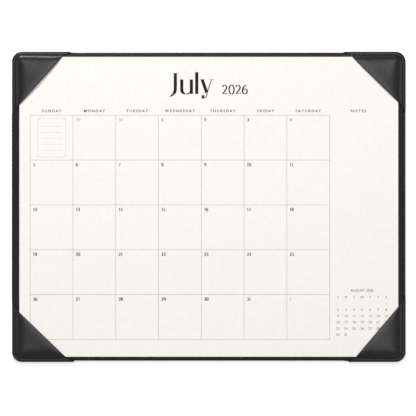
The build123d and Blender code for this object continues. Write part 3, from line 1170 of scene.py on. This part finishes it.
def add_type(bm, text, x, y, height, spacing=1.0, weight=0.0):
    mesh = type_mesh(text, height / CAPITAL_SHARE, spacing, weight)
    mesh.transform(Matrix.Translation((x, y, 0)))
    bm.from_mesh(mesh)
    bpy.data.meshes.remove(mesh)


def add_rule(bm, x_from, y_from, x_to, y_to, width):
    """A straight printed line."""
    add_stroke(bm, [(x_from, y_from), (x_to, y_to)], width, width)


def lay_on_page(name, bm, ink, level, lift, rows):
    """Turns flat shapes into a film of ink that follows the page's surface."""
    cuts = [((0, y, 0), (0, 1, 0)) for y in rows]
    cuts += [((x, 0, 0), (1, 0, 0)) for x in PAGE_COLUMNS[1:-1]]
    for place, normal in cuts:
        parts = bm.verts[:] + bm.edges[:] + bm.faces[:]
        bmesh.ops.bisect_plane(bm, geom=parts, plane_co=place, plane_no=normal, dist=1e-7)
    top = bmesh.ops.extrude_face_region(bm, geom=bm.faces[:], use_keep_orig=True)
    raised = {item for item in top["geom"] if isinstance(item, bmesh.types.BMVert)}
    for vert in bm.verts:
        rise = INK_CLEARANCE + (INK_THICKNESS if vert in raised else 0.0)
        vert.co.z = level + PAGE_THICKNESS + rise + lift * page_lift(vert.co.x, vert.co.y)
    bmesh.ops.recalc_face_normals(bm, faces=bm.faces)
    return new_object(name, bm, ink, "paper")


# %% [markdown]
# ## Lay out a month
# A month page is a grid of seven columns, with a column for notes and a small calendar of the next month
# beside it. The calendar module knows on which weekday a month begins, so the same function prints any
# month. Days of the neighbouring months are printed pale. The first page keeps a plain ruled memo box in
# its first cell.

# %% Print a month page
YEAR, FIRST_MONTH = 2026, 7
INK_CLEARANCE, INK_THICKNESS = 0.005 * MM, 0.008 * MM
GRID_LEFT, GRID_TOP = -257.6 * MM, 132.0 * MM
COLUMN_PITCH, GRID_DEPTH = 61.7 * MM, 323.3 * MM
RULE_WIDTH = 0.6 * MM
LABEL_HEIGHT, LABEL_RISE = 3.8 * MM, 4.4 * MM
LABEL_SPACING, LABEL_WEIGHT = 1.42, 0.11 * MM
DAY_HEIGHT, DAY_INSET = 4.4 * MM, 4.3 * MM
DAY_PEN, DAY_GAP = (1.0 * MM, 0.4 * MM), 0.12
TITLE_LEFT, TITLE_LINE, TITLE_HEIGHT = -55.5 * MM, 162.8 * MM, 30.2 * MM
TITLE_PEN, YEAR_PEN = (4.6 * MM, 0.55 * MM), (1.9 * MM, 0.6 * MM)
YEAR_HEIGHT, YEAR_SPACE = 12.9 * MM, 13.9 * MM
SMALL_LEFT, SMALL_TOP = 186.1 * MM, -122.4 * MM
SMALL_COLUMN, SMALL_ROW, SMALL_HEIGHT = 11.63 * MM, 9.03 * MM, 3.5 * MM
NOTES_X = 215.8 * MM
WEEK = calendar.Calendar(firstweekday=6)


def print_grid(bm, row_count):
    pitch = GRID_DEPTH / row_count
    right = GRID_LEFT + 7 * COLUMN_PITCH
    for i in range(row_count + 1):
        y = GRID_TOP - i * pitch
        add_rule(bm, GRID_LEFT - RULE_WIDTH / 2, y, right + RULE_WIDTH / 2, y, RULE_WIDTH)
    for i in range(8):
        x = GRID_LEFT + i * COLUMN_PITCH
        add_rule(bm, x, GRID_TOP, x, GRID_TOP - GRID_DEPTH, RULE_WIDTH)


def print_memo_box(bm):
    """A rounded frame with plain ruled lines in the first cell."""
    half_x, half_y, corner = 19.9 * MM, 28.1 * MM, 2.6 * MM
    x, y = GRID_LEFT + COLUMN_PITCH / 2, GRID_TOP - GRID_DEPTH / 10
    path = []
    for turn, (sx, sy) in enumerate(CORNERS):
        middle = (x + sx * (half_x - corner), y + sy * (half_y - corner))
        path += arc(*middle, corner, corner, 90 * turn, 90 * turn + 90, 6)
    add_stroke(bm, path + path[:1], 0.5 * MM, 0.5 * MM)
    for i in range(5):
        line = y + half_y - (12.0 + 8.5 * i) * MM
        add_rule(bm, x - half_x + 5 * MM, line, x + half_x - 5 * MM, line, 0.35 * MM)


def print_days(black, pale, month, weeks):
    pitch = GRID_DEPTH / len(weeks)
    for row, week in enumerate(weeks):
        for column, day in enumerate(week):
            if row == 0 and column == 0:
                continue
            x = GRID_LEFT + column * COLUMN_PITCH + DAY_INSET
            y = GRID_TOP - row * pitch - DAY_INSET - DAY_HEIGHT
            bm = black if day.month == month else pale
            pen_text(bm, str(day.day), x, y, DAY_HEIGHT, *DAY_PEN, DAY_GAP)


def print_labels(bm):
    for column in range(7):
        label = calendar.day_name[(column + 6) % 7].upper()
        x = GRID_LEFT + (column + 0.5) * COLUMN_PITCH
        add_type(bm, label, x, GRID_TOP + LABEL_RISE, LABEL_HEIGHT, LABEL_SPACING, LABEL_WEIGHT)
    add_type(bm, "NOTES", NOTES_X, GRID_TOP + LABEL_RISE, LABEL_HEIGHT, LABEL_SPACING, LABEL_WEIGHT)


def print_small_month(bm, month):
    middle = SMALL_LEFT + 3 * SMALL_COLUMN
    title = f"{calendar.month_name[month].upper()} {YEAR}"
    add_type(bm, title, middle, SMALL_TOP, SMALL_HEIGHT * 1.05)
    for column, letter in enumerate("SMTWTFS"):
        x = SMALL_LEFT + column * SMALL_COLUMN
        add_type(bm, letter, x, SMALL_TOP - 1.08 * SMALL_ROW, SMALL_HEIGHT)
    for row, week in enumerate(WEEK.monthdayscalendar(YEAR, month)):
        for column, day in enumerate(week):
            if day:
                x = SMALL_LEFT + column * SMALL_COLUMN
                add_type(bm, str(day), x, SMALL_TOP - (row + 2.08) * SMALL_ROW, SMALL_HEIGHT)


def print_page(month, level, lift, rows, hold):
    """Prints one month as four films of ink and hands each to hold, which attaches it to the pad or bakes
    its placement into its mesh.
    """
    weeks = WEEK.monthdatescalendar(YEAR, month)
    numbers, labels, grid, faint = (bmesh.new() for _ in range(4))
    name = calendar.month_name[month]
    end = pen_text(numbers, name, TITLE_LEFT, TITLE_LINE, TITLE_HEIGHT, *TITLE_PEN)
    pen_text(numbers, str(YEAR), end + YEAR_SPACE, TITLE_LINE, YEAR_HEIGHT, *YEAR_PEN, DAY_GAP)
    print_days(numbers, faint, month, weeks)
    print_labels(labels)
    print_small_month(labels, month % 12 + 1)
    print_grid(grid, len(weeks))
    if month == FIRST_MONTH:
        print_memo_box(faint)
    meshes = {"numbers": numbers, "labels": labels, "grid": grid, "faint": faint}
    for (film, bm), ink in zip(meshes.items(), (INK_BLACK, INK_BLACK, INK_LINE, INK_PALE)):
        hold(lay_on_page(f"print_{name.lower()}_{film}", bm, ink, level, lift, rows))


def ride_on_pad(film):
    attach(film, "calendar_pad")


second_lift = (len(lower_pages) - 1) / len(lower_pages)
print_page(FIRST_MONTH, TOP_PAGE_LEVEL, 1.0, PAGE_ROWS[1:-1], bend_with_top_page)
print_page(FIRST_MONTH + 1, PAGE_LOW.z, second_lift, lower_rows[1:-1], ride_on_pad)

# %% [markdown]
# ## The room
# The object stands on a plain pale floor in soft light. The strongest lamp is a window high behind the
# far edge, so that the raised edges that face away catch a bright line and the near edges stay dark.
# Two faint walls light the sides and a lamp overhead lights the paper. The world gives the rest. What
# the camera and the shine see of it is plain white.

# %% Light the room
WORLD_LEVEL = 0.12


def world_light(level):
    """White to the camera, to shine and to what is seen through, and dimmer to everything else."""
    world = bpy.data.worlds.new("room")
    bpy.context.scene.world = world
    g = Graph(world)
    seen = g.node("LightPath", output="Is Camera Ray")
    for kind in ("Is Transmission Ray", "Is Glossy Ray"):
        seen = seen.math("MAXIMUM", g.node("LightPath", output=kind))
    strength = g.node("MapRange", None, {"Value": seen, "To Min": level})
    white = {"Color": (1, 1, 1, 1), "Strength": strength}
    g.end(g.node("Background", None, white), "OutputWorld")


def lamp(name, place, size, watts):
    data = bpy.data.lights.new(name, "AREA")
    data.shape = "RECTANGLE"
    data.size, data.size_y = size
    data.energy = watts
    obj = bpy.data.objects.new(name, data)
    obj.location = place
    obj.rotation_euler = (-Vector(place)).to_track_quat("-Z", "Y").to_euler()
    bpy.context.scene.collection.objects.link(obj)


world_light(WORLD_LEVEL)
lamp("far_window", (-1.2, 4.3, 3.3), (1.2, 0.9), 215)
lamp("left_wall", (-4.3, 0.4, 3.3), (1.6, 1.2), 14)
lamp("right_wall", (4.3, 0.4, 3.3), (1.6, 1.2), 18)
lamp("overhead", (0.0, 0.32, 2.4), (1.0, 1.5), 25)
print("lamps:", len(bpy.data.lights))

# %% [markdown]
# ## The floor
# The floor is white to the camera and pale to everything else. A part of its light comes from an
# emission that only the camera sees, so it reaches white without more light on the object, and the
# object's shadow still shows on it.

# %% Lay the floor
FLOOR_HALF = 4.0
FLOOR_GLOW = 0.4


def floor_material():
    g = new_material("floor")
    grain = g.noise(80 * MM, 2.0)
    white = g.mix(grain, srgb(246, 246, 246), srgb(250, 250, 250))
    matte = g.node("BsdfDiffuse", None, {"Color": white})
    glow = g.node("Emission", None, {"Strength": g.node("LightPath", output="Is Camera Ray") * FLOOR_GLOW})
    return g.end(g.node("AddShader", None, (matte, glow)), "OutputMaterial")


floor_mesh = bpy.data.meshes.new("floor")
corners = [(x * FLOOR_HALF, y * FLOOR_HALF, 0) for x, y in ((-1, -1), (1, -1), (1, 1), (-1, 1))]
floor_mesh.from_pydata(corners, [], [(0, 1, 2, 3)])
floor = bpy.data.objects.new("floor", floor_mesh)
floor.data.materials.append(floor_material())
bpy.context.scene.collection.objects.link(floor)
